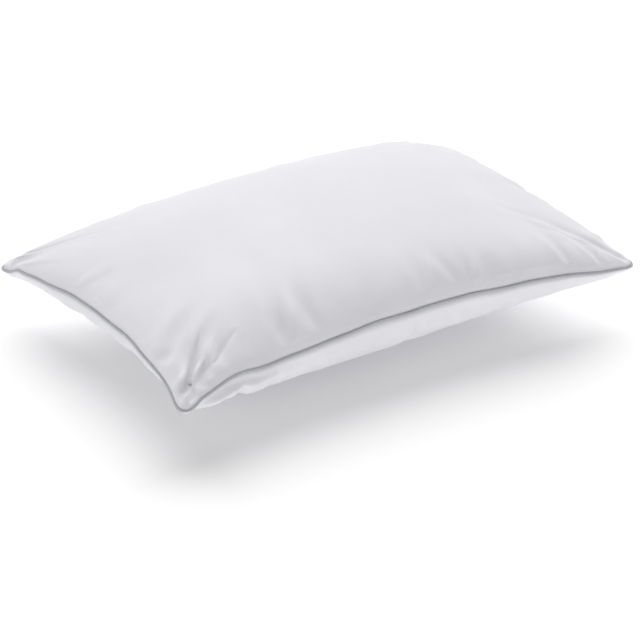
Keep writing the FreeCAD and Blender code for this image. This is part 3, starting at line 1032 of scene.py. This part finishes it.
def fibreMaterial(name, look):
    # tangled fibre: distorted noise plus the distance to the nearest strand's edge, pale and rough
    material, nodes, links, shader = newMaterial(name)
    place = node(nodes, "ShaderNodeTexCoord")
    detail, rough, distortion = fibreLook["tangleDetail"]
    tangle = node(nodes, "ShaderNodeTexNoise", {
        "Scale": look["scale"], "Detail": detail, "Roughness": rough, "Distortion": distortion,
    })
    strandScale = look["scale"] * fibreLook["strandShare"]
    strands = node(nodes, "ShaderNodeTexVoronoi", {"Scale": strandScale}, feature="DISTANCE_TO_EDGE")
    ramp = node(nodes, "ShaderNodeValToRGB")
    ramp.color_ramp.elements[0].color = (*look["dark"], 1)
    ramp.color_ramp.elements[1].color = (*look["light"], 1)
    bump = node(nodes, "ShaderNodeBump", {"Strength": look["bump"], "Distance": fibreLook["bumpHeight"]})
    both = node(nodes, "ShaderNodeMath", operation="ADD")
    links.new(place.outputs["Object"], tangle.inputs["Vector"])
    links.new(place.outputs["Object"], strands.inputs["Vector"])
    links.new(tangle.outputs["Fac"], both.inputs[0])
    links.new(strands.outputs["Distance"], both.inputs[1])
    links.new(tangle.outputs["Fac"], ramp.inputs["Fac"])
    links.new(ramp.outputs["Color"], shader.inputs["Base Color"])
    links.new(both.outputs["Value"], bump.inputs["Height"])
    links.new(bump.outputs["Normal"], shader.inputs["Normal"])
    shader.inputs["Roughness"].default_value = fibreLook["rough"]
    shader.inputs["Sheen Weight"].default_value = fibreLook["sheen"]
    return material


threadLook = {"scale": 900.0, "dark": (0.74, 0.74, 0.74), "light": (0.86, 0.86, 0.86), "bump": 0.3}
fillLook = {"scale": 260.0, "dark": (0.72, 0.72, 0.72), "light": (0.88, 0.88, 0.88), "bump": 0.8}

coverCloth = clothMaterial("coverCloth", coverLook)
for piece, material in (
    (topPanel, coverCloth), (bottomPanel, coverCloth), (tapePiece, clothMaterial("pipingCloth", pipingLook)),
    (cordPiece, clothMaterial("cottonCord", cordLook)), (labelPiece, clothMaterial("labelSatin", labelLook)),
    (fillPiece, fibreMaterial("fillFibre", fillLook)),
):
    piece.data.materials.append(material)
threadCloth = fibreMaterial("sewingThread", threadLook)
for name in ("needleThread", "bobbinThread", "closingThread", "overlockThread"):
    bpy.data.objects[name].data.materials.append(threadCloth)
print("materials made")


stageLook = {
    "size": 40.0,
    "color": (0.95, 0.95, 0.95),
    "grain": 0.01,  # how much paler its palest specks are
    "grainScale": 3.0,
    "rough": 0.9,
    "specular": 0.1,
    "glow": 0.07,  # a softly lit table
    "world": 0.40,
}
lights = [
    # name, strength, how wide it looks in degrees, and the direction it comes from
    ("overhead", 2.34, 72, (0.36, 0.52, 1.0)),
    ("leftFill", 0.40, 60, (-1.0, -0.2, 0.1)),
    ("tableGlow", 0.80, 90, (-0.1, -0.7, -0.9)),
]
view = {
    "azimuth": -33.16,
    "elevation": 27.75,
    "distance": 3.672,
    "aim": (-0.0768, -0.1247, 0.087),
    "lens": 169.7,
    "sensor": 36,
    "clip": 60,
}


def makeFloor():
    # one flat square of pale paper, faintly self-lit, that casts no shadow: it is lit from below too
    half = stageLook["size"] / 2
    corners = np.array([[-half, -half, 0], [half, -half, 0], [half, half, 0], [-half, half, 0]])
    floor = newPiece("floor", corners, np.array([[0, 1, 2, 3]]), smooth=False)
    material, nodes, links, shader = newMaterial("floorPaper")
    grain = node(nodes, "ShaderNodeTexNoise", {"Scale": stageLook["grainScale"], "Detail": 2.0})
    tint = node(nodes, "ShaderNodeValToRGB")
    tint.color_ramp.elements[0].color = (*stageLook["color"], 1)
    tint.color_ramp.elements[1].color = (*(c + stageLook["grain"] for c in stageLook["color"]), 1)
    place = node(nodes, "ShaderNodeTexCoord")
    links.new(place.outputs["Object"], grain.inputs["Vector"])
    links.new(grain.outputs["Fac"], tint.inputs["Fac"])
    links.new(tint.outputs["Color"], shader.inputs["Base Color"])
    shader.inputs["Roughness"].default_value = stageLook["rough"]
    shader.inputs["Specular IOR Level"].default_value = stageLook["specular"]
    shader.inputs["Emission Color"].default_value = (1, 1, 1, 1)
    shader.inputs["Emission Strength"].default_value = stageLook["glow"]
    floor.data.materials.append(material)
    floor.visible_shadow = False


def makeLights():
    # a plain pale world and a few soft suns, each turned so that it shines from its own direction
    world = bpy.data.worlds.new("studio")
    world.use_nodes = True
    background = world.node_tree.nodes["Background"]
    background.inputs["Color"].default_value = (1.0, 1.0, 1.0, 1)
    background.inputs["Strength"].default_value = stageLook["world"]
    bpy.context.scene.world = world
    for name, strength, width, place in lights:
        lamp = bpy.data.lights.new(name, "SUN")
        lamp.energy = strength
        lamp.angle = math.radians(width)
        obj = bpy.data.objects.new(name, lamp)
        obj.rotation_euler = Vector(place).to_track_quat("Z", "Y").to_euler()
        bpy.context.scene.collection.objects.link(obj)


def makeCamera():
    # stands off from the aim by the distance, at (sin a cos e, -cos a cos e, sin e)
    azimuth, elevation = math.radians(view["azimuth"]), math.radians(view["elevation"])
    back = Vector((
        math.sin(azimuth) * math.cos(elevation),
        -math.cos(azimuth) * math.cos(elevation),
        math.sin(elevation),
    ))
    camera = bpy.data.cameras.new("camera")
    camera.lens = view["lens"]
    camera.sensor_width = view["sensor"]
    camera.clip_end = view["clip"]
    obj = bpy.data.objects.new("camera", camera)
    obj.location = Vector(view["aim"]) + back * view["distance"]
    obj.rotation_euler = (-back).to_track_quat("-Z", "Y").to_euler()
    bpy.context.scene.collection.objects.link(obj)
    bpy.context.scene.camera = obj


makeFloor()
makeLights()
makeCamera()
bpy.context.scene.view_settings.view_transform = "Standard"
print("floor, light and camera made")
